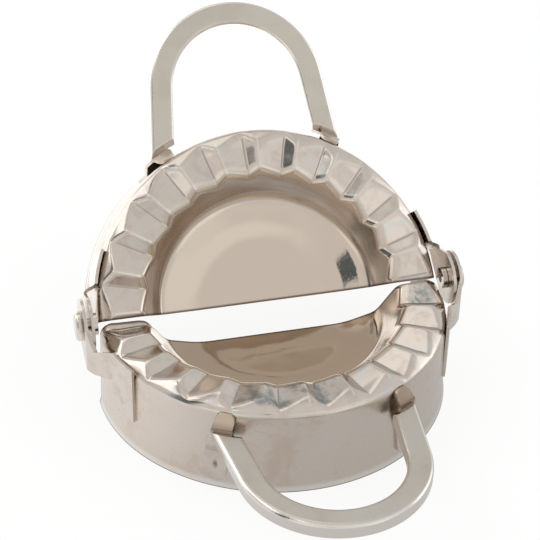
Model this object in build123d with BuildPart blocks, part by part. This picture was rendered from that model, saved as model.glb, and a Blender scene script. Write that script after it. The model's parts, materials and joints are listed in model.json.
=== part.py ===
# Dumpling and empanada press in pressed stainless steel, in millimetres.
# The front half stands on its skirt. The back half is tilted up about the hinge axis.
# World frame: X along the hinge, -Y to the front, +Z up, origin on the table under the hinge's middle.
# Each half is drawn flat about the hinge axis first: local z = 0 is the plane where the flutes mesh.
from build123d import *

import os
from math import acos, asin, cos, degrees, hypot, radians, sin

os.makedirs("parts", exist_ok=True)

# ---- pose ----
hinge_height = 25.5  # hinge axis above the table
open_angle = 51.7  # tilt of the back half from lying flat

# ---- pressed shell ----
ring_radius = 47.0  # outside of the skirt just above its lip
shoulder_inset = 0.9  # how much narrower the skirt is at the shoulder
sheet = 0.8  # thickness of every pressed piece
parting_gap = 0.3  # from the hinge axis to each half's cut edge
lip_flare = 0.45  # how far the skirt's lip turns out
lip_height = 1.6
lip_round = 4.0
shoulder_width = 1.7  # from the flutes' outer ends to the skirt
shoulder_drop = 1.2  # shoulder below the hinge plane
shoulder_fall = 0.45  # fall of the shoulder before its rounded edge
shoulder_round = 1.5
bevel_width = 1.8  # slope at the outer end of each ridge
rim_radius = 35.6  # inner end of the ridges
bowl_depth = 10.4
bowl_flat_radius = 20.0
bowl_crease_radius = 28.2
bowl_crease_depth = 8.2
bowl_wall_radius = 33.4
bowl_wall_depth = 3.2
rim_round = 1.0
slope_round = 0.9
flat_round = 6.0
crease_round = 3.0
wall_round = 5.0

# ---- flutes ----
flute_count = 24  # around a full ring
flute_rise = 0.85  # ridges above the hinge plane
flute_drop = 1.35  # valleys below it
flute_mesh_radius = 38.2  # where the flanks reach the full height
flank_share = 2 / 3  # share of a flute's pitch that its gentle flank takes

# ---- handles ----
bar_width = 6.3
bar_height = 4.4
bar_round = 1.2
bar_drop = 5.5  # top of the bar below the hinge plane
leg_spread = 23.0  # from the middle to each leg's centre line, at the bracket
bend_radius = 20.9  # of the handle's centre line
bend_distance = 58.5  # from the hinge axis to the bend's centre
end_slope_length = 1.7  # slope ground on the top of each end
end_slope_depth = 1.1

# ---- brackets under the handle ends ----
bow_gap = 1.4  # from the skirt's widest radius to the back of the bow
leaf_foot = 2.9  # lower end of the leaf above the table
leaf_height = 8.6
bow_bottom = 15.2  # lower end of the bow's flat above the table
bow_top = 20.2
tip_height = 23.4
tip_gap = 0.2  # from the skirt to the tip
bracket_foot_width = 7.2
bracket_tip_width = 4.8
bow_round = 1.2
bracket_lean = 10.8
bracket_shift = 2.3  # from the leg's centre line towards the hinge
foot_corner = 2.0
tip_corner = 1.9

# ---- hinge straps and rivets ----
ear_gap = 1.6  # from the skirt to the inner ear
ear_clearance = 1.0  # between the two ears
ear_radius = 7.2
front_strap_reach = 6.3  # from the hinge axis to the ear's bend
back_strap_reach = 8.5
neck_reach = 8.4  # where the strap narrows towards the ear
neck_top = 2.8
neck_height = 7.2
front_plate_start = 15.3  # angle where the plate meets the skirt
back_plate_start = 11.8
plate_sweep = 12.2
plate_top = 0.2  # below the hinge plane
plate_height = 16.3
plate_corner = 4.5
band_height = 8.7
bend_round = 0.9
shank_radius = 1.75
hinge_fit = 0.05
head_radius = 4.0
head_height = 1.5
head_round = 1.2
head_clearance = 0.3  # from the outer ear to the head
tail_radius = 2.9
tail_length = 1.3
tail_bore = 1.2
tail_depth = 1.0
tail_clearance = 0.1

flute_pitch = 360 / flute_count
gentle_angle = flute_pitch * flank_share
steep_angle = flute_pitch - gentle_angle
gentle_slope = (flute_rise + flute_drop) / (flute_mesh_radius * sin(radians(gentle_angle)))
steep_slope = (flute_rise + flute_drop) / (flute_mesh_radius * sin(radians(steep_angle)))
table = -hinge_height
bow_face = ring_radius + bow_gap + sheet
ear_inside = ring_radius + ear_gap
outer_ear_face = ear_inside + sheet + ear_clearance
head_face = outer_ear_face + sheet + head_clearance


def offset_points(points, distance):
    """Return the open outline moved to its right by distance, with mitred corners."""
    moved = []
    for i, (r, z) in enumerate(points):
        normals = []
        for j in (i - 1, i):
            if 0 <= j < len(points) - 1:
                (r0, z0), (r1, z1) = points[j], points[j + 1]
                run = hypot(r1 - r0, z1 - z0)
                normals.append(((z1 - z0) / run, (r0 - r1) / run))
        nr, nz = (sum(v) for v in zip(*normals))
        scale = distance * len(normals) / (nr**2 + nz**2)
        moved.append((r + nr * scale, z + nz * scale))
    return moved


# Outside of the pressing from the bowl's middle to the lip, and the rounding of each corner:
# positive where its centre lies above the sheet, negative where it lies below.
shoulder_radius = ring_radius - shoulder_inset
flute_end = shoulder_radius - shoulder_width
skirt_top = -shoulder_drop - shoulder_fall
skirt_foot = table + lip_height
outline = [
    (0, -bowl_depth),
    (bowl_flat_radius, -bowl_depth),
    (bowl_crease_radius, -bowl_crease_depth),
    (bowl_wall_radius, -bowl_wall_depth),
    (rim_radius, flute_rise),
    (flute_end - bevel_width, flute_rise),
    (flute_end, -shoulder_drop),
    (shoulder_radius, skirt_top),
    (ring_radius, skirt_foot),
    (ring_radius + lip_flare, table),
]
rounds = [flat_round, crease_round, wall_round, -rim_round, -rim_round, slope_round, -shoulder_round, lip_round]
underside = offset_points(outline, sheet)
top_rounds = [abs(r) for r in rounds]
under_rounds = [r + sheet if r > 0 else max(-r - sheet, sheet / 8) for r in rounds]


def skirt_radius(level):
    """Return the skirt's outside radius at a height."""
    return ring_radius - shoulder_inset * (level - skirt_foot) / (skirt_top - skirt_foot)


def solid_below(points, radii, side, drop):
    """Return the solid below one surface of the sheet, with one half's flutes pressed into it."""
    start = 0 if side > 0 else 180
    planes = []
    for k in range(flute_count // 2 + 1):
        angle = radians(start + steep_angle / 2 + flute_pitch * k)
        radial = Vector(cos(angle), sin(angle), 0)
        along = Vector(-sin(angle), cos(angle), 0)
        planes.append(Plane(origin=radial * bowl_crease_radius, x_dir=along, z_dir=radial))
    depth = flute_rise + flute_drop + 2 * sheet
    with BuildPart() as form:
        with BuildSketch(Plane.XZ):
            with BuildLine():
                FilletPolyline(*points, radius=radii)
                Polyline(points[-1], (0, points[-1][1]), points[0])
            make_face()
        revolve(axis=Axis.Z, revolution_arc=360)
        with BuildSketch(*planes):
            with BuildLine():
                Polyline(
                    (0, -flute_drop - drop),
                    (depth / gentle_slope, depth - flute_drop - drop),
                    (-depth / steep_slope, depth - flute_drop - drop),
                    close=True,
                )
            make_face()
        extrude(amount=ring_radius - bowl_crease_radius, mode=Mode.SUBTRACT)
    return form.part


def pressed_shell(side):
    """Return one half's sheet, cut just short of the hinge axis."""
    with BuildPart() as shell:
        add(solid_below(outline, top_rounds, side, 0))
        add(solid_below(underside, under_rounds, side, sheet), mode=Mode.SUBTRACT)
        split(bisect_by=Plane.XZ.offset(-side * parting_gap), keep=Keep.BOTTOM if side > 0 else Keep.TOP)
    return shell.part


def handle_bar(side):
    """Return one U-shaped bar with its ends cut to the bow of the brackets."""
    start = ring_radius * cos(asin(leg_spread / ring_radius))
    reach = hypot(leg_spread, bend_distance - start)
    lean = acos((bend_distance - start) / reach) - asin(bend_radius / reach)
    meet_x = bend_radius * cos(lean)
    meet_y = side * (bend_distance + bend_radius * sin(lean))
    level = -bar_drop - bar_height / 2
    with BuildPart() as bar:
        with BuildLine() as route:
            leg = Line((-leg_spread, side * start, level), (-meet_x, meet_y, level))
            top = (0, side * (bend_distance + bend_radius), level)
            ThreePointArc(leg @ 1, top, (meet_x, meet_y, level))
            Line((meet_x, meet_y, level), (leg_spread, side * start, level))
        with BuildSketch(Plane(origin=leg @ 0, x_dir=(1, 0, 0), z_dir=leg % 0)):
            RectangleRounded(bar_width, bar_height, bar_round)
        sweep(path=route.wires()[0])
        with BuildSketch(Plane.XY.offset(-bar_drop - 2 * bar_height)):
            Circle(bow_face)
        extrude(amount=3 * bar_height, mode=Mode.SUBTRACT)
        with BuildSketch(Plane.XZ):
            with BuildLine():
                Polyline(
                    (bow_face - sheet, 0),
                    (bow_face - sheet, -bar_drop - end_slope_depth),
                    (bow_face, -bar_drop - end_slope_depth),
                    (bow_face + end_slope_length, -bar_drop),
                    (bow_face + end_slope_length, 0),
                    close=True,
                )
            make_face()
        revolve(axis=Axis.Z, revolution_arc=360, mode=Mode.SUBTRACT)
    return bar.part


def handle_bracket(side, hand):
    """Return the bowed strip behind one handle end, its leaf flush on the skirt."""
    swing = degrees(acos(leg_spread / bow_face) - bracket_shift / ring_radius)
    angle = radians(side * (swing if hand > 0 else 180 - swing))
    radial = Vector(cos(angle), sin(angle), 0)
    along = Vector(-sin(angle), cos(angle), 0)
    dip = bracket_foot_width / 2 * sin(radians(bracket_lean))
    leaf_low = table + leaf_foot - dip
    leaf_high = table + leaf_foot + leaf_height
    inner = [
        (skirt_radius(leaf_low), leaf_low),
        (skirt_radius(leaf_high), leaf_high),
        (ring_radius + bow_gap, table + bow_bottom),
        (ring_radius + bow_gap, table + bow_top),
        (skirt_radius(table + tip_height) + tip_gap, table + tip_height),
    ]
    outer = offset_points(inner, sheet)
    middle = table + (leaf_foot + tip_height) / 2
    half_height = (tip_height - leaf_foot + sheet) / 2
    turn = radians(-side * hand * bracket_lean)
    across = along * cos(turn) + Vector(0, 0, 1) * sin(turn)
    with BuildPart() as strip:
        with BuildSketch(Plane(origin=(0, 0, 0), x_dir=radial, z_dir=-along)):
            with BuildLine():
                FilletPolyline(*inner, radius=bow_round + sheet)
                FilletPolyline(*outer, radius=bow_round)
                Line(inner[0], outer[0])
                Line(inner[-1], outer[-1])
            make_face()
        revolve(axis=Axis.Z, revolution_arc=360)
        with BuildSketch(Plane(origin=(0, 0, middle), x_dir=across, z_dir=radial)):
            with BuildLine():
                FilletPolyline(
                    (-bracket_foot_width / 2, -half_height),
                    (bracket_foot_width / 2, -half_height),
                    (bracket_tip_width / 2, half_height),
                    (-bracket_tip_width / 2, half_height),
                    radius=[foot_corner, foot_corner, tip_corner, tip_corner],
                    close=True,
                )
            make_face()
        extrude(amount=2 * ring_radius, mode=Mode.INTERSECT)
    return strip.part


def hinge_strap(side, hand, face, reach, plate_start, bore):
    """Return one strap: the plate on the skirt, the joggle, and the ear with its rivet hole."""
    foot = -plate_top - plate_height
    plate_radius = skirt_radius(foot)
    meet = (plate_radius * cos(radians(plate_start)), side * plate_radius * sin(radians(plate_start)))
    first_angle = plate_start if side > 0 else -plate_start
    step = side * (abs(meet[1]) + sheet)
    far = side * ring_radius
    neck = side * neck_reach
    band_foot = -plate_top - band_height
    with BuildPart() as strap:
        with BuildSketch(Plane.XY.offset(foot)):
            with BuildLine() as plan:
                FilletPolyline((face, -side * 2 * ear_radius), (face, side * reach), meet, radius=bend_round)
                CenterArc((0, 0), plate_radius, first_angle, side * plate_sweep)
                fillet(plan.vertices().sort_by_distance(meet)[0], bend_round + sheet)
                offset(amount=sheet, side=Side.RIGHT if side > 0 else Side.LEFT)
            make_face()
        extrude(amount=plate_height + plate_top + 2 * ear_radius)
        with BuildSketch(Plane.YZ):
            with BuildLine():
                CenterArc((0, 0), ear_radius, 0, 360)
                Line((neck, -neck_top), (neck, -neck_top - neck_height))
            make_hull()
            with BuildLine():
                Polyline(
                    (neck / 2, -neck_top),
                    (neck, -neck_top),
                    (step, -plate_top),
                    (far, -plate_top),
                    (far, band_foot),
                    (step, band_foot),
                    (neck, -neck_top - neck_height),
                    (neck / 2, -neck_top - neck_height / 2),
                    close=True,
                )
            make_face()
            with BuildLine():
                FilletPolyline(
                    (step, -plate_top),
                    (far, -plate_top),
                    (far, foot),
                    (step, foot),
                    radius=[0, 0, 0, plate_corner],
                    close=True,
                )
            make_face()
        extrude(amount=2 * ring_radius, mode=Mode.INTERSECT)
        with BuildSketch(Plane.YZ):
            Circle(bore)
        extrude(amount=2 * ring_radius, mode=Mode.SUBTRACT)
    return strap.part if hand > 0 else mirror(strap.part, about=Plane.YZ)


def rivet(hand):
    """Return one rivet: domed head outside, shank through both ears, flared hollow tail."""
    tail_face = ear_inside - tail_clearance
    with BuildPart() as pin:
        with BuildSketch(Plane.YZ.offset(tail_face - tail_length)):
            Circle(tail_radius)
        extrude(amount=tail_length)
        with BuildSketch(Plane.YZ.offset(tail_face)):
            Circle(shank_radius)
        extrude(amount=head_face - tail_face)
        with BuildSketch(Plane.YZ.offset(head_face)):
            Circle(head_radius)
        extrude(amount=head_height)
        fillet(pin.edges().sort_by(Axis.X)[-1], head_round)
        with BuildSketch(Plane.YZ.offset(tail_face - tail_length)):
            Circle(tail_bore)
        extrude(amount=tail_depth, mode=Mode.SUBTRACT)
    return pin.part if hand > 0 else mirror(pin.part, about=Plane.YZ)


# The front half stands on the table, the back half is tilted up about the hinge axis.
for half, side, tilt in (("front", -1, 0), ("back", 1, open_angle)):
    face, reach, start = (
        (outer_ear_face, front_strap_reach, front_plate_start)
        if side < 0
        else (ear_inside, back_strap_reach, back_plate_start)
    )
    bore = shank_radius if side < 0 else shank_radius + hinge_fit
    pieces = {f"{half}_shell": pressed_shell(side), f"{half}_handle": handle_bar(side)}
    for name, hand in (("left", -1), ("right", 1)):
        pieces[f"{half}_bracket_{name}"] = handle_bracket(side, hand)
        pieces[f"{half}_strap_{name}"] = hinge_strap(side, hand, face, reach, start, bore)
        if side < 0:
            pieces[f"rivet_{name}"] = rivet(hand)
    for name, flat in pieces.items():
        with BuildPart() as piece:
            with Locations((0, 0, hinge_height)):
                add(flat, rotation=(tilt, 0, 0))
        piece.part.label = name
        export_step(piece.part, f"parts/{name}.step")
        print(name, round(piece.part.volume, 1), len(piece.part.solids()))
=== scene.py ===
import json
import math

import bmesh
import bpy
import numpy as np
from mathutils import Matrix, Vector, noise


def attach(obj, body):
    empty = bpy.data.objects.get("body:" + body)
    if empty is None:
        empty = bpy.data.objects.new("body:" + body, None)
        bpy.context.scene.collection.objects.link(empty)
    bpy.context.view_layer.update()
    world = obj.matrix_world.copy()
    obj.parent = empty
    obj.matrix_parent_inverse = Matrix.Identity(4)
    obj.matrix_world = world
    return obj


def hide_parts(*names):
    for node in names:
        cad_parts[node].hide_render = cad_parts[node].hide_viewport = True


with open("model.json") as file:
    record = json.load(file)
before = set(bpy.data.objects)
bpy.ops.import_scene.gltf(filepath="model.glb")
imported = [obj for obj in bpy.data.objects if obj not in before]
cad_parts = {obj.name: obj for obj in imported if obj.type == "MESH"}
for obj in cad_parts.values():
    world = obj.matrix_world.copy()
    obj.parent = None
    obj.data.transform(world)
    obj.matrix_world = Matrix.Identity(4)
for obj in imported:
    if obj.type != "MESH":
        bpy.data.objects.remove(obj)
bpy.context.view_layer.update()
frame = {"nodes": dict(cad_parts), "record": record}
scene = bpy.context.scene
nodes = frame["nodes"]
mm = 0.001

hinge = frame["record"]["behaviour"]["joints"][0]
print("frame loaded:", len(nodes), "nodes")

# the press: its hinge line, and how far the back half stands open, as the frame has them
pressSizes = {
    "hingeHeight": hinge["pos_m"][2],
    "openAngle": math.radians(-hinge["range_deg"][0]),
}

# one pressed half, in millimetres about the hinge line
shellPlan = {
    "sheet": 0.8,
    "partingGap": 0.3,
    "bowlRadii": (20.0, 29.0, 35.6),    # flat, crease and rim
    "bowlDepths": (10.4, 8.0),
    "bowlRounds": (24.0, 5.0),
    "cutHeight": 3.0,        # the wall and the end slope are drawn this high, and the flutes cut them off
    "cutRound": 0.2,
    "ridgeHeight": 0.85,
    "valleyDepth": 1.35,
    "fluteCount": 24,
    "meshRadius": 38.2,      # where the flanks reach their full height
    "gentleShare": 2 / 3,
    "ridgeEnd": 42.9,
    "shoulder": (46.45, -1.85),    # where the slope beyond the ridges meets the skirt
    "shoulderRounds": (3.0, 4.0),    # shoulder, lip
    "skirtRadius": 47.0,
    "lipHeight": 1.6,
    "lipFlare": 0.45,
    "ridgeRound": 0.55,      # how softly two planes run into each other
    "valleyRound": 0.25,
    "crestCap": 0.12,        # the ridges stop this far above their height at the mesh radius
    "bandSlope": 0.25,       # of the rounded band between flutes and wall, as a share of the wall's slope
    "bandDepths": (0.42, 0.12),    # towards the bowl, towards the shoulder
    "bandRounds": (0.8, 0.35),    # wall into band, band into flutes
    "endRise": 0.3,          # how far a groove climbs before its outer end
    "columns": 340,
    "waviness": 0.07,
}


def roundedOutline(points, rounds, longest):
    # the outline with its corners rounded, as rows of radius, level, and the sheet's outward direction
    rows = []

    def addRun(start, end):
        run = end - start
        steps = max(1, int(run.length / longest))
        along = run.normalized()
        for step in range(steps + 1):
            here = start + run * step / steps
            rows.append((here.x, here.y, -along.y, along.x))

    corners = [Vector(point) for point in points]
    last = corners[0]
    for corner, after, radius in zip(corners[1:-1], corners[2:], rounds):
        came, goes = (corner - last).normalized(), (after - corner).normalized()
        turn = math.atan2(came.x * goes.y - came.y * goes.x, came.dot(goes))
        setback = radius * math.tan(abs(turn) / 2)
        start = corner - came * setback
        addRun(last, start)
        side = 1 if turn > 0 else -1
        centre = start + Vector((-came.y, came.x)) * radius * side
        steps = max(3, int(abs(turn) * 7 * max(1.0, radius / 4)))
        heading = math.atan2(came.y, came.x)
        for step in range(1, steps):
            angle = heading + turn * step / steps
            out = Vector((-math.sin(angle), math.cos(angle)))
            here = centre - out * radius * side
            rows.append((here.x, here.y, out.x, out.y))
        last = corner + goes * setback
    addRun(last, corners[-1])
    return np.array(rows)


def softLower(first, second, reach):
    # the lower of two heights, run together over reach
    near = np.maximum(reach - np.abs(first - second), 0.0) / reach
    return np.minimum(first, second) - near * near * reach / 4


def fluteHeights(x, y, side):
    # V-shaped grooves round the ring, gentle on one flank and steep on the other
    plan = shellPlan
    pitch = 360 / plan["fluteCount"]
    gentle = pitch * plan["gentleShare"]
    steep = pitch - gentle
    depth = plan["ridgeHeight"] + plan["valleyDepth"]
    gentleSlope = depth / (plan["meshRadius"] * math.sin(math.radians(gentle)))
    steepSlope = depth / (plan["meshRadius"] * math.sin(math.radians(steep)))
    start = 0 if side > 0 else 180
    heights = np.full(x.shape, 9.0)
    for count in range(plan["fluteCount"] // 2 + 1):
        angle = math.radians(start + steep / 2 + pitch * count)
        along = -x * math.sin(angle) + y * math.cos(angle)
        outward = x * math.cos(angle) + y * math.sin(angle)
        valley = softLower(-along * gentleSlope, along * steepSlope, plan["valleyRound"])
        groove = -valley - plan["valleyDepth"]
        heights = softLower(heights, np.where(outward > 0, groove, 9.0), plan["ridgeRound"])
    return softLower(heights, plan["ridgeHeight"] + plan["crestCap"], plan["ridgeRound"])


def pressedHalf(name, side, tilt):
    plan = shellPlan
    foot = -pressSizes["hingeHeight"] / mm
    flat, crease, rim = plan["bowlRadii"]
    flatLevel, creaseLevel = (-depth for depth in plan["bowlDepths"])
    ridge, top = plan["ridgeHeight"], plan["cutHeight"]
    wallRun = (rim - crease) / (ridge - creaseLevel)
    endRun = (plan["shoulder"][0] - plan["ridgeEnd"]) / (ridge - plan["shoulder"][1])
    rounds = plan["bowlRounds"] + (plan["cutRound"], plan["cutRound"]) + plan["shoulderRounds"]
    outline = roundedOutline(
        [(plan["partingGap"], flatLevel), (flat, flatLevel), (crease, creaseLevel),
         (rim + (top - ridge) * wallRun, top), (plan["ridgeEnd"] - (top - ridge) * endRun, top),
         plan["shoulder"], (plan["skirtRadius"], foot + plan["lipHeight"]),
         (plan["skirtRadius"] + plan["lipFlare"], foot)],
        rounds, 0.7)
    middle = (rim + plan["ridgeEnd"]) / 2
    share = np.linspace(0.0, 1.0, plan["columns"] + 1)
    layers = []
    for drop in (0.0, plan["sheet"]):
        radius = np.maximum.accumulate(outline[:, 0] - outline[:, 2] * drop)
        level = outline[:, 1] - outline[:, 3] * drop
        first = np.arcsin(np.clip(plan["partingGap"] / np.maximum(radius, plan["partingGap"]), 0, 1))
        angle = first[:, None] + (math.pi - 2 * first[:, None]) * share[None, :]
        x = radius[:, None] * np.cos(angle) * side
        y = radius[:, None] * np.sin(angle) * side
        z = np.broadcast_to(level[:, None], x.shape)
        climb = plan["endRise"] * np.clip((radius[:, None] - plan["ridgeEnd"] + 1) / 3, 0, 1)
        flutes = fluteHeights(x, y, side) + climb - drop
        innerBand, outerBand = plan["bandDepths"]
        bandDepth = np.where(radius[:, None] < middle, innerBand, outerBand)
        band = flutes + (z - flutes) * plan["bandSlope"] - bandDepth
        grooved = softLower(softLower(z, band, plan["bandRounds"][0]), flutes, plan["bandRounds"][1])
        z = np.where(radius[:, None] > crease, grooved, z)
        z = np.maximum(z, foot)
        layers.append(np.stack((x, y, z), axis=2))
    rows, columns = layers[0].shape[:2]
    lower = rows * columns
    points = np.concatenate([layer.reshape(-1, 3) for layer in layers])
    faces = []
    for row in range(rows - 1):
        for column in range(columns - 1):
            a = row * columns + column
            b, c, d = a + 1, a + columns + 1, a + columns
            faces.append((a, d, c, b))
            faces.append((a + lower, b + lower, c + lower, d + lower))
    for row in range(rows - 1):
        for column in (0, columns - 1):
            a = row * columns + column
            d = a + columns
            faces.append((a, a + lower, d + lower, d) if column == 0 else (a, d, d + lower, a + lower))
    for column in range(columns - 1):
        a = (rows - 1) * columns + column
        faces.append((a, a + lower, a + 1 + lower, a + 1))
    turned = Matrix.Translation((0, 0, pressSizes["hingeHeight"])) @ Matrix.Rotation(tilt, 4, "X")
    mesh = bpy.data.meshes.new(name)
    mesh.from_pydata([turned @ (Vector(point) * mm) for point in points], [], faces)
    tidy = bmesh.new()
    tidy.from_mesh(mesh)
    bmesh.ops.remove_doubles(tidy, verts=tidy.verts, dist=0.002 * mm)
    bmesh.ops.recalc_face_normals(tidy, faces=tidy.faces)
    for vertex in tidy.verts:        # the sheet is never quite true: a slow wave along its own direction
        here = turned.inverted() @ vertex.co / mm
        reach = math.hypot(here.x, here.y)
        hold = min(1.0, max(0.0, (here.z - foot) / 6)) * min(1.0, abs(here.y) / 4) * min(1.0, reach / 20)
        wave = noise.noise(here * 0.16 + Vector((9.0 * side, 0, 0)))
        vertex.co += vertex.normal * wave * plan["waviness"] * mm * hold
    tidy.to_mesh(mesh)
    tidy.free()
    mesh.shade_smooth()
    mesh.set_sharp_from_angle(angle=math.radians(50))
    half = bpy.data.objects.new(name, mesh)
    scene.collection.objects.link(half)
    body = "front_half" if side < 0 else "back_half"
    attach(half, body)
    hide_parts(body.replace("half", "shell"))
    return half


frontPressing = pressedHalf("frontPressing", -1, 0.0)
backPressing = pressedHalf("backPressing", 1, pressSizes["openAngle"])
print("pressed halves made:", len(frontPressing.data.polygons), "faces each")


def addNode(tree, kind, **values):
    node = tree.nodes.new(kind)
    for name, value in values.items():
        setattr(node, name, value)
    return node


def feed(tree, socket, value):
    # a socket is linked, anything else is set as the default
    if isinstance(value, bpy.types.NodeSocket):
        tree.links.new(value, socket)
    else:
        socket.default_value = value


def calc(tree, operation, first, second=None):
    node = addNode(tree, "ShaderNodeMath", operation=operation)
    feed(tree, node.inputs[0], first)
    if second is not None:
        feed(tree, node.inputs[1], second)
    return node.outputs[0]


def vectorCalc(tree, operation, first, second=None):
    node = addNode(tree, "ShaderNodeVectorMath", operation=operation)
    feed(tree, node.inputs[0], first)
    if second is not None:
        feed(tree, node.inputs[1], second)
    return node.outputs["Value" if operation in ("DOT_PRODUCT", "LENGTH", "DISTANCE") else "Vector"]


def ramp(tree, value, low, high, start=0.0, end=1.0):
    # start below low, end above high, and a smooth step between
    node = addNode(tree, "ShaderNodeMapRange")
    node.interpolation_type = "SMOOTHSTEP"
    feed(tree, node.inputs["Value"], value)
    for name, number in (("From Min", low), ("From Max", high), ("To Min", start), ("To Max", end)):
        feed(tree, node.inputs[name], number)
    return node.outputs["Result"]


def blendColours(tree, factor, first, second):
    node = addNode(tree, "ShaderNodeMix", data_type="RGBA", blend_type="MIX")
    feed(tree, node.inputs["Factor"], factor)
    feed(tree, node.inputs[6], first)
    feed(tree, node.inputs[7], second)
    return node.outputs[2]


def blendValues(tree, factor, first, second):
    node = addNode(tree, "ShaderNodeMix", data_type="FLOAT")
    feed(tree, node.inputs["Factor"], factor)
    feed(tree, node.inputs[2], first)
    feed(tree, node.inputs[3], second)
    return node.outputs[0]


def cloud(tree, vector, scale, detail=3.0, roughness=0.5, distortion=0.0):
    node = addNode(tree, "ShaderNodeTexNoise")
    feed(tree, node.inputs["Vector"], vector)
    for name, number in (("Scale", scale), ("Detail", detail), ("Roughness", roughness),
                         ("Distortion", distortion)):
        feed(tree, node.inputs[name], number)
    return node.outputs["Fac"]


def newGroup(name, inputs, outputs):
    # a shader node group with named sockets: (name, kind, default) for the inputs
    tree = bpy.data.node_groups.new(name, "ShaderNodeTree")
    for label, kind, default in inputs:
        socket = tree.interface.new_socket(name=label, in_out="INPUT", socket_type="NodeSocket" + kind)
        socket.default_value = default
    for label, kind in outputs:
        tree.interface.new_socket(name=label, in_out="OUTPUT", socket_type="NodeSocket" + kind)
    return tree, addNode(tree, "NodeGroupInput"), addNode(tree, "NodeGroupOutput")


def placeGroup(tree, group, **values):
    node = addNode(tree, "ShaderNodeGroup", node_tree=group)
    for name, value in values.items():
        feed(tree, node.inputs[name], value)
    return node


def place(tree, scaled=(1.0, 1.0, 1.0), turned=(0.0, 0.0, 0.0)):
    # the surface's own coordinates, in metres, turned and stretched
    coordinates = addNode(tree, "ShaderNodeTexCoord")
    mapping = addNode(tree, "ShaderNodeMapping", vector_type="TEXTURE")
    mapping.inputs["Rotation"].default_value = turned
    mapping.inputs["Scale"].default_value = scaled
    tree.links.new(coordinates.outputs["Object"], mapping.inputs["Vector"])
    return mapping.outputs["Vector"]


def aboutHinge(tree, where, tilt):
    # a point as it lies in its own half, measured from the hinge line
    lowered = vectorCalc(tree, "SUBTRACT", where, (0.0, 0.0, pressSizes["hingeHeight"]))
    turned = addNode(tree, "ShaderNodeVectorRotate", rotation_type="X_AXIS")
    tree.links.new(lowered, turned.inputs["Vector"])
    tree.links.new(tilt, turned.inputs["Angle"])
    return turned


def makeSoftEdges():
    # rounds every edge in the shading, over the fine relief
    tree, given, result = newGroup(
        "softEdges",
        [("Radius", "Float", 0.0004), ("Height", "Float", 0.0), ("Depth", "Float", 0.0)],
        [("Normal", "Vector")],
    )
    bevel = addNode(tree, "ShaderNodeBevel", samples=6)
    tree.links.new(given.outputs["Radius"], bevel.inputs["Radius"])
    bump = addNode(tree, "ShaderNodeBump")
    bump.inputs["Strength"].default_value = 1.0
    tree.links.new(given.outputs["Depth"], bump.inputs["Distance"])
    tree.links.new(given.outputs["Height"], bump.inputs["Height"])
    tree.links.new(bevel.outputs["Normal"], bump.inputs["Normal"])
    tree.links.new(bump.outputs["Normal"], result.inputs["Normal"])
    return tree


def makeSheetGrain():
    # the fine orange peel of pressed and tumbled sheet, with a few long scratches
    tree, given, result = newGroup(
        "sheetGrain",
        [("Scale", "Float", 900.0), ("Scratches", "Float", 0.3)],
        [("Height", "Float"), ("Gloss", "Float")],
    )
    where = place(tree)
    grain = cloud(tree, where, given.outputs["Scale"], 4.0, 0.6)
    stretched = place(tree, (9.0, 1.0, 1.4), (0.3, 0.2, 0.9))
    lines = cloud(tree, stretched, 2200.0, 2.0, 0.6)
    scratch = ramp(tree, lines, 0.66, 0.76)
    scratch = calc(tree, "MULTIPLY", scratch, given.outputs["Scratches"])
    tree.links.new(calc(tree, "SUBTRACT", grain, scratch), result.inputs["Height"])
    broad = cloud(tree, where, 160.0, 3.0, 0.55)
    gloss = calc(tree, "ADD", calc(tree, "MULTIPLY", broad, 0.6), calc(tree, "MULTIPLY", grain, 0.4))
    tree.links.new(gloss, result.inputs["Gloss"])
    return tree


def makeStains():
    # cloudy wash marks that stay on steel after drying: paler bluish ones, and darker ones
    tree, given, result = newGroup(
        "washStains",
        [("Size", "Float", 1.0), ("Amount", "Float", 0.5), ("Clean", "Color", (0.6, 0.6, 0.6, 1.0)),
         ("Pale", "Color", (0.5, 0.5, 0.5, 1.0)), ("Dark", "Color", (0.4, 0.4, 0.4, 1.0))],
        [("Color", "Color"), ("Mask", "Float")],
    )
    where = place(tree)
    scale = calc(tree, "DIVIDE", 1.0, given.outputs["Size"])
    broad = cloud(tree, where, calc(tree, "MULTIPLY", scale, 70.0), 4.0, 0.6, 0.8)
    fine = cloud(tree, where, calc(tree, "MULTIPLY", scale, 330.0), 5.0, 0.65, 0.3)
    mixed = calc(tree, "ADD", calc(tree, "MULTIPLY", broad, 0.72), calc(tree, "MULTIPLY", fine, 0.28))
    pale = calc(tree, "MULTIPLY", ramp(tree, mixed, 0.48, 0.66), given.outputs["Amount"])
    dark = calc(tree, "MULTIPLY", ramp(tree, mixed, 0.52, 0.36), given.outputs["Amount"])
    tree.links.new(calc(tree, "MAXIMUM", pale, dark), result.inputs["Mask"])
    colour = blendColours(tree, pale, given.outputs["Clean"], given.outputs["Pale"])
    tree.links.new(blendColours(tree, dark, colour, given.outputs["Dark"]), result.inputs["Color"])
    return tree


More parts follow.
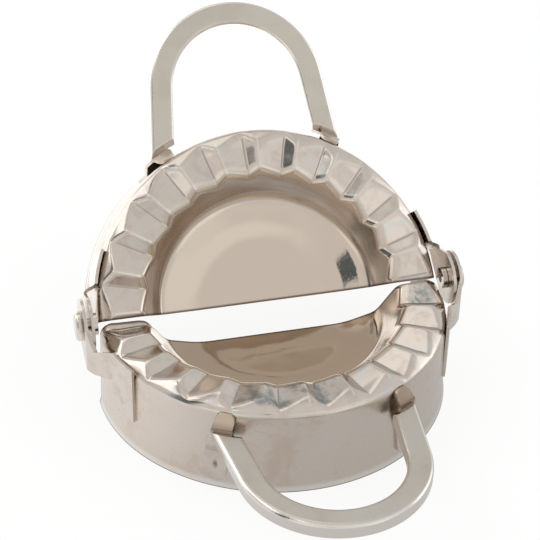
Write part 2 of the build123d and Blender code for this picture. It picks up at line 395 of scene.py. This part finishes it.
def makeZones():
    # where a point of a pressed half lies: in the bowl, on the skirt, or at the skirt's lip
    tree, given, result = newGroup(
        "pressedZones",
        [("Tilt", "Float", 0.0)],
        [("Bowl", "Float"), ("Skirt", "Float"), ("Lip", "Float"), ("Foot", "Float"), ("Cut", "Float"),
         ("Groove", "Float"), ("Ridge", "Float"), ("Ring", "Float"), ("Wall", "Float"), ("Streaks", "Float"),
         ("Place", "Vector")],
    )
    coordinates = addNode(tree, "ShaderNodeTexCoord")
    turned = aboutHinge(tree, coordinates.outputs["Object"], given.outputs["Tilt"])
    parts = addNode(tree, "ShaderNodeSeparateXYZ")
    tree.links.new(turned.outputs["Vector"], parts.inputs["Vector"])
    flat = vectorCalc(tree, "MULTIPLY", turned.outputs["Vector"], (1.0, 1.0, 0.0))
    radius = vectorCalc(tree, "LENGTH", flat)
    level = parts.outputs["Z"]
    outer = shellPlan["bowlRadii"][2] * mm
    tree.links.new(ramp(tree, radius, outer - 0.2 * mm, outer + 0.4 * mm, 1.0, 0.0), result.inputs["Bowl"])
    wide = ramp(tree, radius, outer + 4 * mm, outer + 6 * mm)
    low = ramp(tree, level, -3.2 * mm, -2.4 * mm, 1.0, 0.0)
    tree.links.new(calc(tree, "MULTIPLY", wide, low), result.inputs["Skirt"])
    foot = -pressSizes["hingeHeight"]
    tree.links.new(ramp(tree, level, foot + 0.05 * mm, foot + 0.3 * mm, 1.0, 0.0), result.inputs["Lip"])
    tree.links.new(ramp(tree, level, foot + 0.7 * mm, foot + 2.2 * mm, 1.0, 0.0), result.inputs["Foot"])
    edge = calc(tree, "ABSOLUTE", parts.outputs["Y"])
    tree.links.new(ramp(tree, edge, 0.6 * mm, 1.15 * mm, 1.0, 0.0), result.inputs["Cut"])
    pitch = math.radians(360 / shellPlan["fluteCount"])
    steep = pitch * (1 - shellPlan["gentleShare"])
    turn = calc(tree, "ARCTAN2", parts.outputs["Y"], parts.outputs["X"])
    ringOnly = calc(tree, "MULTIPLY", ramp(tree, radius, outer - 0.4 * mm, outer + 0.6 * mm),
                    ramp(tree, radius, 43.6 * mm, 44.6 * mm, 1.0, 0.0))
    # thin lines along each groove and each ridge of the ring, where painted shade and a painted highlight go
    for name, angle, width in (("Groove", steep / 2, 0.35 * mm), ("Ridge", -steep / 2, 0.5 * mm)):
        share = calc(tree, "DIVIDE", calc(tree, "SUBTRACT", turn, angle), pitch)
        away = calc(tree, "ABSOLUTE", calc(tree, "SUBTRACT", share, calc(tree, "ROUND", share)))
        away = calc(tree, "MULTIPLY", calc(tree, "MULTIPLY", away, pitch), radius)
        line = ramp(tree, away, 0.08 * mm, width, 1.0, 0.0)
        tree.links.new(calc(tree, "MULTIPLY", line, ringOnly), result.inputs[name])
    tree.links.new(ringOnly, result.inputs["Ring"])
    wall = calc(tree, "MULTIPLY", ramp(tree, level, -8.3 * mm, -7.0 * mm),
                ramp(tree, level, -2.2 * mm, -0.6 * mm, 1.0, 0.0))
    tree.links.new(wall, result.inputs["Wall"])
    drawn = addNode(tree, "ShaderNodeCombineXYZ")        # long streaks round the wall, for the wall's painted shade
    for socket, value, stretch in (("X", turn, 2.2), ("Y", radius, 900.0), ("Z", level, 500.0)):
        tree.links.new(calc(tree, "MULTIPLY", value, stretch), drawn.inputs[socket])
    tree.links.new(cloud(tree, drawn.outputs["Vector"], 1.0, 3.0, 0.6, 0.6), result.inputs["Streaks"])
    tree.links.new(turned.outputs["Vector"], result.inputs["Place"])
    return tree


def makePaintedDarkReflection():
    # painted dark reflection, mottled and bluish, round one place
    tree, given, result = newGroup(
        "paintedDarkReflection",
        [("Place", "Vector", (0.0, 0.0, 0.0)), ("Centre", "Vector", (0.0, 0.0, 0.0)),
         ("Reach", "Float", 0.01)],
        [("Mask", "Float")],
    )
    far = vectorCalc(tree, "DISTANCE", given.outputs["Place"], given.outputs["Centre"])
    near = ramp(tree, calc(tree, "DIVIDE", far, given.outputs["Reach"]), 0.5, 1.1, 1.0, 0.0)
    brushed = place(tree, (1.0, 1.6, 1.0), (0.0, 0.0, 0.3))
    spots = cloud(tree, brushed, 700.0, 6.0, 0.7, 0.4)
    broad = cloud(tree, brushed, 190.0, 2.0, 0.5)
    mixed = calc(tree, "ADD", calc(tree, "MULTIPLY", spots, 0.5), calc(tree, "MULTIPLY", broad, 0.5))
    tree.links.new(calc(tree, "MULTIPLY", ramp(tree, mixed, 0.42, 0.57), near), result.inputs["Mask"])
    return tree


def makeWeldSpot():
    # the ragged brown spot that a weld leaves, mirrored to every corner of a half
    tree, given, result = newGroup(
        "weldSpot",
        [("Tilt", "Float", 0.0), ("Centre", "Vector", (0.0, 0.0, 0.0)),
         ("Along", "Vector", (0.0, 0.0, 0.0)), ("Width", "Float", 0.001), ("Height", "Float", 0.002)],
        [("Mask", "Float"), ("Level", "Float")],
    )
    coordinates = addNode(tree, "ShaderNodeTexCoord")
    turned = aboutHinge(tree, coordinates.outputs["Object"], given.outputs["Tilt"])
    level = addNode(tree, "ShaderNodeSeparateXYZ")
    tree.links.new(turned.outputs["Vector"], level.inputs["Vector"])
    folded = vectorCalc(tree, "ABSOLUTE", turned.outputs["Vector"])
    folded = vectorCalc(tree, "MULTIPLY", folded, (1.0, 1.0, -1.0))
    away = vectorCalc(tree, "SUBTRACT", folded, given.outputs["Centre"])
    sideways = vectorCalc(tree, "DOT_PRODUCT", away, given.outputs["Along"])
    sideways = calc(tree, "DIVIDE", sideways, given.outputs["Width"])
    upwards = vectorCalc(tree, "DOT_PRODUCT", away, (0.0, 0.0, 1.0))
    upwards = calc(tree, "DIVIDE", upwards, given.outputs["Height"])
    rough = cloud(tree, coordinates.outputs["Object"], 1300.0, 3.0, 0.6)
    ragged = calc(tree, "MULTIPLY", rough, 0.9)
    far = calc(tree, "SQRT", calc(tree, "ADD", calc(tree, "MULTIPLY", sideways, sideways),
                                  calc(tree, "MULTIPLY", upwards, upwards)))
    filled = ramp(tree, calc(tree, "ADD", far, ragged), 0.9, 1.7, 1.0, 0.0)
    patchy = ramp(tree, rough, 0.36, 0.58, 0.35, 1.0)
    tree.links.new(calc(tree, "MULTIPLY", filled, patchy), result.inputs["Mask"])
    tree.links.new(level.outputs["Z"], result.inputs["Level"])
    return tree


softEdges = makeSoftEdges()
sheetGrain = makeSheetGrain()
washStains = makeStains()
pressedZones = makeZones()
paintedDarkReflection = makePaintedDarkReflection()
weldSpot = makeWeldSpot()
print("shared effects made")


def newMaterial(name):
    material = bpy.data.materials.new(name)
    material.use_nodes = True
    tree = material.node_tree
    shader = tree.nodes["Principled BSDF"]
    shader.inputs["Metallic"].default_value = 1.0
    return material, tree, shader


shellFinish = {
    "steel": (0.66, 0.585, 0.52, 1.0),
    "bowlSteel": (0.65, 0.57, 0.49, 1.0),
    "paleStain": (0.62, 0.635, 0.62, 1.0),
    "darkStain": (0.56, 0.50, 0.475, 1.0),
    "skirtPale": (0.66, 0.595, 0.545, 1.0),
    "skirtDark": (0.61, 0.505, 0.43, 1.0),
    # the skirt's pale band just above its lip: painted reflection of the white floor
    "paintedFloorReflection": (0.80, 0.78, 0.74, 1.0),
    "edgeBrown": (0.17, 0.12, 0.085, 1.0),
    # a thin dark line along each groove: painted shade
    "paintedGrooveShade": (0.30, 0.26, 0.23, 1.0),
    # a thin pale line along each ridge: painted highlight
    "paintedRidgeHighlight": (0.78, 0.74, 0.69, 1.0),
    # painted dark reflection, mottled and bluish, and the places it is painted round
    "paintedDarkReflection": (0.24, 0.28, 0.285, 1.0),
    "paintedDarkReflectionSpots": (((-6.0, -39.0, 0.0), 15.0), ((38.0, -6.0, 0.0), 6.0)),    # place, reach
    # the bowl's wall darker and browner: painted shade
    "paintedWallShade": (0.52, 0.44, 0.37, 1.0),
    "bowlRoughness": 0.05,
    "wallRoughness": 0.17,
    "ringRoughness": 0.11,
    "skirtRoughness": 0.24,
    "edgeRadius": 0.25 * mm,
    "grainDepth": 0.010 * mm,
}


def shellMaterial(name, tilt):
    look = shellFinish
    material, tree, shader = newMaterial(name)
    zones = placeGroup(tree, pressedZones, Tilt=tilt)
    grain = placeGroup(tree, sheetGrain, Scale=700.0, Scratches=0.25)
    ring = placeGroup(tree, washStains, Size=0.55, Amount=0.7, Clean=look["steel"], Pale=look["paleStain"],
                      Dark=look["darkStain"])
    skirt = placeGroup(tree, washStains, Size=1.3, Amount=0.9, Clean=look["steel"], Pale=look["skirtPale"],
                       Dark=look["skirtDark"])
    colour = blendColours(tree, zones.outputs["Skirt"], ring.outputs["Color"], skirt.outputs["Color"])
    # painted reflection of the white floor: the skirt paler just above its lip
    foot = calc(tree, "MULTIPLY", zones.outputs["Foot"], zones.outputs["Skirt"])
    colour = blendColours(tree, calc(tree, "MULTIPLY", foot, 0.75), colour, look["paintedFloorReflection"])
    # painted highlight: a thin pale line along each ridge of the ring
    ridge = calc(tree, "MULTIPLY", zones.outputs["Ridge"], 0.6)
    colour = blendColours(tree, ridge, colour, look["paintedRidgeHighlight"])
    # painted shade: a thin dark line along each groove of the ring
    groove = calc(tree, "MULTIPLY", zones.outputs["Groove"], 0.6)
    colour = blendColours(tree, groove, colour, look["paintedGrooveShade"])
    # painted dark reflection: mottled bluish dark patches on the front half's ring
    for centre, reach in look["paintedDarkReflectionSpots"] if tilt == 0 else ():
        spot = placeGroup(tree, paintedDarkReflection, Place=zones.outputs["Place"], Centre=Vector(centre) * mm,
                          Reach=reach * mm)
        there = calc(tree, "MULTIPLY", zones.outputs["Ring"], 0.85)
        darkReflectionMask = calc(tree, "MULTIPLY", spot.outputs["Mask"], there)
        colour = blendColours(tree, darkReflectionMask, colour, look["paintedDarkReflection"])
    # painted shade: the bowl's wall darker and browner, streaked round the wall
    streaks = ramp(tree, zones.outputs["Streaks"], 0.3, 0.62, 0.45, 1.0)
    drawn = calc(tree, "MULTIPLY", zones.outputs["Wall"], streaks)
    bowl = blendColours(tree, drawn, look["bowlSteel"], look["paintedWallShade"])
    colour = blendColours(tree, zones.outputs["Bowl"], colour, bowl)
    brown = calc(tree, "MAXIMUM", zones.outputs["Lip"], calc(tree, "MULTIPLY", zones.outputs["Cut"], 0.95))
    colour = blendColours(tree, brown, colour, look["edgeBrown"])
    tree.links.new(colour, shader.inputs["Base Color"])
    rough = blendValues(tree, zones.outputs["Skirt"], look["ringRoughness"], look["skirtRoughness"])
    stained = blendValues(tree, zones.outputs["Skirt"], ring.outputs["Mask"], skirt.outputs["Mask"])
    rough = calc(tree, "ADD", rough, calc(tree, "MULTIPLY", stained, 0.16))
    inside = blendValues(tree, zones.outputs["Wall"], look["bowlRoughness"], look["wallRoughness"])
    rough = blendValues(tree, zones.outputs["Bowl"], rough, inside)
    tree.links.new(rough, shader.inputs["Roughness"])
    edges = placeGroup(tree, softEdges, Radius=look["edgeRadius"], Height=grain.outputs["Height"],
                       Depth=look["grainDepth"])
    tree.links.new(edges.outputs["Normal"], shader.inputs["Normal"])
    return material


barFinish = {
    "steel": (0.61, 0.57, 0.505, 1.0),
    "pale": (0.63, 0.615, 0.57, 1.0),
    "dark": (0.53, 0.485, 0.43, 1.0),
    # edge: the paler colour of the bar's sides and rounded edges, a painted highlight; the polish there is
    # the lower edge roughness
    "edge": (0.78, 0.74, 0.69, 1.0),
    "roughness": 0.30,
    "edgeRoughness": 0.12,
    "edgeRadius": 0.5 * mm,
    "grainDepth": 0.03 * mm,
}


def barMaterial(name, tilt):
    look = barFinish
    material, tree, shader = newMaterial(name)
    turned = addNode(tree, "ShaderNodeVectorRotate", rotation_type="X_AXIS")
    tree.links.new(addNode(tree, "ShaderNodeTexCoord").outputs["Normal"], turned.inputs["Vector"])
    turned.inputs["Angle"].default_value = tilt
    facing = addNode(tree, "ShaderNodeSeparateXYZ")
    tree.links.new(turned.outputs["Vector"], facing.inputs["Vector"])
    flat = ramp(tree, calc(tree, "ABSOLUTE", facing.outputs["Z"]), 0.80, 0.98)
    grain = placeGroup(tree, sheetGrain, Scale=1300.0, Scratches=0.1)
    stains = placeGroup(tree, washStains, Size=1.6, Amount=0.5, Clean=look["steel"], Pale=look["pale"],
                        Dark=look["dark"])
    # painted highlight: every face that does not point straight up or down takes the paler edge colour
    colour = blendColours(tree, flat, look["edge"], stains.outputs["Color"])
    tree.links.new(colour, shader.inputs["Base Color"])
    rough = ramp(tree, grain.outputs["Gloss"], 0.3, 0.7, look["roughness"] - 0.05, look["roughness"] + 0.07)
    tree.links.new(blendValues(tree, flat, look["edgeRoughness"], rough), shader.inputs["Roughness"])
    edges = placeGroup(tree, softEdges, Radius=look["edgeRadius"], Height=grain.outputs["Height"],
                       Depth=look["grainDepth"])
    tree.links.new(edges.outputs["Normal"], shader.inputs["Normal"])
    return material


sheetFinish = {
    "steel": (0.66, 0.59, 0.525, 1.0),
    "pale": (0.66, 0.64, 0.60, 1.0),
    "dark": (0.52, 0.45, 0.40, 1.0),
    "roughness": 0.2,
    "edgeRadius": 0.2 * mm,
    "grainDepth": 0.012 * mm,
    # the bracket's gold towards the tip is painted reflection, and its brown by the bar is painted shade
    "goldReflectionPaint": (0.58, 0.475, 0.37, 1.0),
    "brownShadePaint": (0.28, 0.21, 0.155, 1.0),
    "paintedLightShare": (0.9, 0.45),    # front half, back half
    "paintedLightLevels": (-7.2, -5.6, -3.4),    # below it plain, brown painted shade at the weld, gold painted reflection at the tip
    "weldBrown": (0.22, 0.15, 0.10, 1.0),
}
# the spot welds of one fitting, in millimetres and degrees from the hinge line; size is half of the spot
weldMarks = {
    "bracket": {"radius": 47.3, "azimuth": 58.3, "levels": (-18.0,),
                "size": (0.75, 1.5), "strength": 0.85},
    "strap": {"radius": 47.8, "azimuth": 21.5, "levels": (-4.6, -12.2),
              "size": (1.5, 1.5), "strength": 0.13},
}


def sheetMaterial(name, kind, tilt):
    look = sheetFinish
    material, tree, shader = newMaterial(name)
    grain = placeGroup(tree, sheetGrain, Scale=900.0, Scratches=0.3)
    stains = placeGroup(tree, washStains, Size=0.6, Amount=0.5, Clean=look["steel"], Pale=look["pale"],
                        Dark=look["dark"])
    colour = stains.outputs["Color"]
    weld = weldMarks[kind]
    turn = math.radians(weld["azimuth"])
    for level in weld["levels"]:
        centre = Vector((weld["radius"] * math.cos(turn), weld["radius"] * math.sin(turn), level)) * mm
        along = (-math.sin(turn), math.cos(turn), 0.0)
        spot = placeGroup(tree, weldSpot, Tilt=tilt, Centre=centre, Along=along,
                          Width=weld["size"][0] * mm, Height=weld["size"][1] * mm)
        mark = calc(tree, "MULTIPLY", spot.outputs["Mask"], weld["strength"])
        colour = blendColours(tree, mark, colour, look["weldBrown"])
    if kind == "bracket":
        # painted light on the bracket: brown painted shade low down by the bar, gold painted reflection
        # towards the tip, and painted shade darkening the right-hand bracket
        plain, brown, gold = (level * mm for level in look["paintedLightLevels"])
        parts = addNode(tree, "ShaderNodeSeparateXYZ")
        tree.links.new(addNode(tree, "ShaderNodeTexCoord").outputs["Object"], parts.inputs["Vector"])
        rightHandShade = ramp(tree, parts.outputs["X"], -10 * mm, 10 * mm, 0.0, 0.75)
        paintedLight = blendColours(tree, rightHandShade, look["goldReflectionPaint"], look["brownShadePaint"])
        paintedLight = blendColours(tree, ramp(tree, spot.outputs["Level"], brown, gold), look["brownShadePaint"], paintedLight)
        share = look["paintedLightShare"][0 if tilt == 0 else 1]
        paintedLightAmount = calc(tree, "MULTIPLY", ramp(tree, spot.outputs["Level"], plain, brown), share)
        colour = blendColours(tree, paintedLightAmount, colour, paintedLight)
    tree.links.new(colour, shader.inputs["Base Color"])
    rough = calc(tree, "ADD", look["roughness"], calc(tree, "MULTIPLY", stains.outputs["Mask"], 0.15))
    tree.links.new(rough, shader.inputs["Roughness"])
    edges = placeGroup(tree, softEdges, Radius=look["edgeRadius"], Height=grain.outputs["Height"],
                       Depth=look["grainDepth"])
    tree.links.new(edges.outputs["Normal"], shader.inputs["Normal"])
    return material


def rivetMaterial(name):
    material, tree, shader = newMaterial(name)
    grain = placeGroup(tree, sheetGrain, Scale=900.0, Scratches=0.2)
    stains = placeGroup(tree, washStains, Size=0.3, Amount=0.5, Clean=(0.68, 0.63, 0.57, 1.0),
                        Pale=(0.72, 0.69, 0.65, 1.0), Dark=(0.48, 0.42, 0.37, 1.0))
    tree.links.new(stains.outputs["Color"], shader.inputs["Base Color"])
    shader.inputs["Roughness"].default_value = 0.14
    edges = placeGroup(tree, softEdges, Radius=0.2 * mm, Height=grain.outputs["Height"], Depth=0.01 * mm)
    tree.links.new(edges.outputs["Normal"], shader.inputs["Normal"])
    return material


def dress(nodeName, material):
    piece = nodes[nodeName]
    piece.data.materials.clear()
    piece.data.materials.append(material)


rivetSteel = rivetMaterial("rivetSteel")
frontPressing.data.materials.append(shellMaterial("frontShellSteel", 0.0))
backPressing.data.materials.append(shellMaterial("backShellSteel", -pressSizes["openAngle"]))
for half, tilt in (("front", 0.0), ("back", -pressSizes["openAngle"])):
    dress(half + "_handle", barMaterial(half + "BarSteel", tilt))
    for kind in ("bracket", "strap"):
        steel = sheetMaterial(half + kind.capitalize() + "Steel", kind, tilt)
        for hand in ("left", "right"):
            dress(half + "_" + kind + "_" + hand, steel)
for hand in ("left", "right"):
    dress("rivet_" + hand, rivetSteel)
print("materials placed")


floorLook = {
    "radius": 2.5,
    "white": (0.96, 0.96, 0.96, 1.0),
    "lift": 0.86,            # share of the floor that shows as plain white, the rest takes the shadow
    "dimSide": 150,          # the steel sees less light on the floor towards this azimuth
    "dimTo": 0.6,
    "brightSide": -8,        # and more light from behind
    "brightTo": 1.5,
}


def direction(azimuth, elevation):
    # azimuth 0 looks along +Y, away from the camera's side, and 90 along +X
    turn, rise = math.radians(azimuth), math.radians(elevation)
    return Vector((math.sin(turn) * math.cos(rise), math.cos(turn) * math.cos(rise), math.sin(rise)))


def makeFloor():
    look = floorLook
    mesh = bpy.data.meshes.new("floor")
    shape = bmesh.new()
    bmesh.ops.create_circle(shape, cap_ends=True, segments=96, radius=look["radius"])
    shape.to_mesh(mesh)
    shape.free()
    floor = bpy.data.objects.new("floor", mesh)
    scene.collection.objects.link(floor)
    material = bpy.data.materials.new("paleFloor")
    material.use_nodes = True
    tree = material.node_tree
    tree.nodes.clear()
    diffuse = addNode(tree, "ShaderNodeBsdfDiffuse")
    diffuse.inputs["Color"].default_value = look["white"]
    glow = addNode(tree, "ShaderNodeEmission")
    path = addNode(tree, "ShaderNodeLightPath")
    outward = vectorCalc(tree, "NORMALIZE", addNode(tree, "ShaderNodeTexCoord").outputs["Object"])
    towards = vectorCalc(tree, "DOT_PRODUCT", outward, tuple(direction(look["dimSide"], 0)))
    dimmed = ramp(tree, towards, -0.35, 0.85, 1.0, look["dimTo"])
    behind = vectorCalc(tree, "DOT_PRODUCT", outward, tuple(direction(look["brightSide"], 0)))
    dimmed = calc(tree, "MULTIPLY", dimmed, ramp(tree, behind, 0.6, 0.88, 1.0, look["brightTo"]))
    tree.links.new(blendValues(tree, path.outputs["Is Camera Ray"], dimmed, 1.0), glow.inputs["Strength"])
    seen = calc(tree, "MAXIMUM", path.outputs["Is Camera Ray"], path.outputs["Is Glossy Ray"])
    seen = calc(tree, "MAXIMUM", seen, path.outputs["Is Transmission Ray"])
    mix = addNode(tree, "ShaderNodeMixShader")
    tree.links.new(calc(tree, "MULTIPLY", seen, look["lift"]), mix.inputs["Fac"])
    tree.links.new(diffuse.outputs["BSDF"], mix.inputs[1])
    tree.links.new(glow.outputs["Emission"], mix.inputs[2])
    output = addNode(tree, "ShaderNodeOutputMaterial")
    tree.links.new(mix.outputs["Shader"], output.inputs["Surface"])
    mesh.materials.append(material)
    return floor


# the room that the steel mirrors: its walls, and what stands before them
roomWalls = {
    "cameraSide": (0.84, 0.82, 0.80, 1.0),
    "behind": (0.68, 0.68, 0.67, 1.0),
    "right": (0.80, 0.81, 0.81, 1.0),
}
# azimuth, elevation, half width, half height in degrees, softness, square or round, colour
roomPatches = {
    "backdropLow": (-20, -4, 40, 24, 0.4, "round", (1.6, 1.6, 1.6, 1.0)),
    "windowLeft": (-85, 52, 24, 12, 0.3, "square", (1.7, 1.7, 1.7, 1.0)),
    "softboxBackLeft": (-48, 32, 11, 32, 0.3, "square", (1.8, 1.8, 1.8, 1.0)),
    "stripRight": (84, 6, 20, 24, 0.4, "round", (1.6, 1.6, 1.6, 1.0)),
    "wallSheen": (150, 26, 26, 11, 0.4, "round", (0.98, 0.97, 0.95, 1.0)),
    "wallLowRight": (148, 6, 13, 8, 0.4, "round", (1.12, 1.11, 1.08, 1.0)),
    "wallLowLeft": (-137, 2, 15, 11, 0.3, "round", (1.12, 1.1, 1.06, 1.0)),
    "ceiling": (-12, 64, 22, 14, 0.4, "round", (1.18, 1.16, 1.13, 1.0)),
    "standLeft": (-110, 18, 7, 34, 0.22, "square", (0.14, 0.16, 0.165, 1.0)),
    "standTop": (-92, 57, 7, 7, 0.4, "round", (0.5, 0.52, 0.5, 1.0)),
    "flagAbove": (-62, 65, 10, 3, 0.4, "round", (0.10, 0.13, 0.14, 1.0)),
    "cameraBody": (-164, 33, 2, 4, 0.3, "round", (0.12, 0.14, 0.15, 1.0)),
    "darkBack": (-2, -4, 14, 8, 0.5, "round", (0.35, 0.35, 0.35, 1.0)),
}


def makeRoom():
    world = bpy.data.worlds.new("room")
    scene.world = world
    world.use_nodes = True
    tree = world.node_tree
    tree.nodes.clear()
    looking = addNode(tree, "ShaderNodeTexCoord").outputs["Generated"]
    parts = addNode(tree, "ShaderNodeSeparateXYZ")
    tree.links.new(looking, parts.inputs["Vector"])
    backward = ramp(tree, parts.outputs["Y"], -0.5, 0.6)
    colour = blendColours(tree, backward, roomWalls["cameraSide"], roomWalls["behind"])
    colour = blendColours(tree, ramp(tree, parts.outputs["X"], 0.2, 0.9), colour, roomWalls["right"])
    for azimuth, elevation, width, height, soft, kind, shade in roomPatches.values():
        centre = direction(azimuth, elevation)
        across = direction(azimuth + 90, 0)
        upward = across.cross(centre)
        if upward.z < 0:
            upward.negate()
        sideways = vectorCalc(tree, "DOT_PRODUCT", looking, tuple(across / math.sin(math.radians(width))))
        upwards = vectorCalc(tree, "DOT_PRODUCT", looking, tuple(upward / math.sin(math.radians(height))))
        if kind == "square":
            far = calc(tree, "MAXIMUM", calc(tree, "ABSOLUTE", sideways), calc(tree, "ABSOLUTE", upwards))
        else:
            acrossSquare = calc(tree, "POWER", calc(tree, "ABSOLUTE", sideways), 2.0)
            upSquare = calc(tree, "POWER", calc(tree, "ABSOLUTE", upwards), 2.0)
            far = calc(tree, "SQRT", calc(tree, "ADD", acrossSquare, upSquare))
        ahead = vectorCalc(tree, "DOT_PRODUCT", looking, tuple(centre))
        mask = calc(tree, "MULTIPLY", ramp(tree, far, 1.0 - soft, 1.0 + soft, 1.0, 0.0),
                    calc(tree, "GREATER_THAN", ahead, 0.0))
        colour = blendColours(tree, mask, colour, shade)
    path = addNode(tree, "ShaderNodeLightPath")
    colour = blendColours(tree, path.outputs["Is Camera Ray"], colour, (1.0, 1.0, 1.0, 1.0))
    background = addNode(tree, "ShaderNodeBackground")
    tree.links.new(colour, background.inputs["Color"])
    background.inputs["Strength"].default_value = 1.0
    output = addNode(tree, "ShaderNodeOutputWorld")
    tree.links.new(background.outputs["Background"], output.inputs["Surface"])


lampPlan = {
    "keyLamp": {"azimuth": -70, "elevation": 55, "distance": 1.2, "size": 0.7, "radiance": 1.2},
    "fillLamp": {"azimuth": 120, "elevation": 50, "distance": 1.4, "size": 0.8, "radiance": 1.0},
}


def makeLamps():
    aim = Vector((0.0, 0.0, 0.03))
    for name, plan in lampPlan.items():
        light = bpy.data.lights.new(name, "AREA")
        light.shape = "SQUARE"
        light.size = plan["size"]
        light.energy = plan["radiance"] * math.pi * plan["size"] ** 2
        lamp = bpy.data.objects.new(name, light)
        scene.collection.objects.link(lamp)
        toLamp = direction(plan["azimuth"], plan["elevation"])
        lamp.location = aim + toLamp * plan["distance"]
        lamp.rotation_euler = toLamp.to_track_quat("Z", "Y").to_euler()
        lamp.visible_camera = False
        lamp.visible_glossy = False      # the steel mirrors the room's own bright patches instead


cameraPlace = {
    "lens": 108.33,          # mm on a 36 mm wide frame
    "place": (-94.418 * mm, -340.016 * mm, 275.627 * mm),
    "azimuth": -15.377,
    "elevation": 34.266,
    "roll": 1.446,
}


def makeCamera():
    plan = cameraPlace
    turn, rise, roll = (math.radians(plan[name]) for name in ("azimuth", "elevation", "roll"))
    back = Vector((math.sin(turn) * math.cos(rise), -math.cos(turn) * math.cos(rise), math.sin(rise)))
    level = Vector((math.cos(turn), math.sin(turn), 0.0))
    upright = back.cross(level)
    right = level * math.cos(roll) + upright * math.sin(roll)
    up = upright * math.cos(roll) - level * math.sin(roll)
    lens = bpy.data.cameras.new("camera")
    lens.lens = plan["lens"]
    lens.sensor_width = 36.0
    lens.clip_start = 0.01
    camera = bpy.data.objects.new("camera", lens)
    scene.collection.objects.link(camera)
    turned = Matrix((right, up, back)).transposed().to_4x4()
    camera.matrix_world = Matrix.Translation(plan["place"]) @ turned
    scene.camera = camera


makeFloor()
makeRoom()
makeLamps()
makeCamera()
scene.view_settings.view_transform = "Standard"
print("floor, room, lamps and camera made")
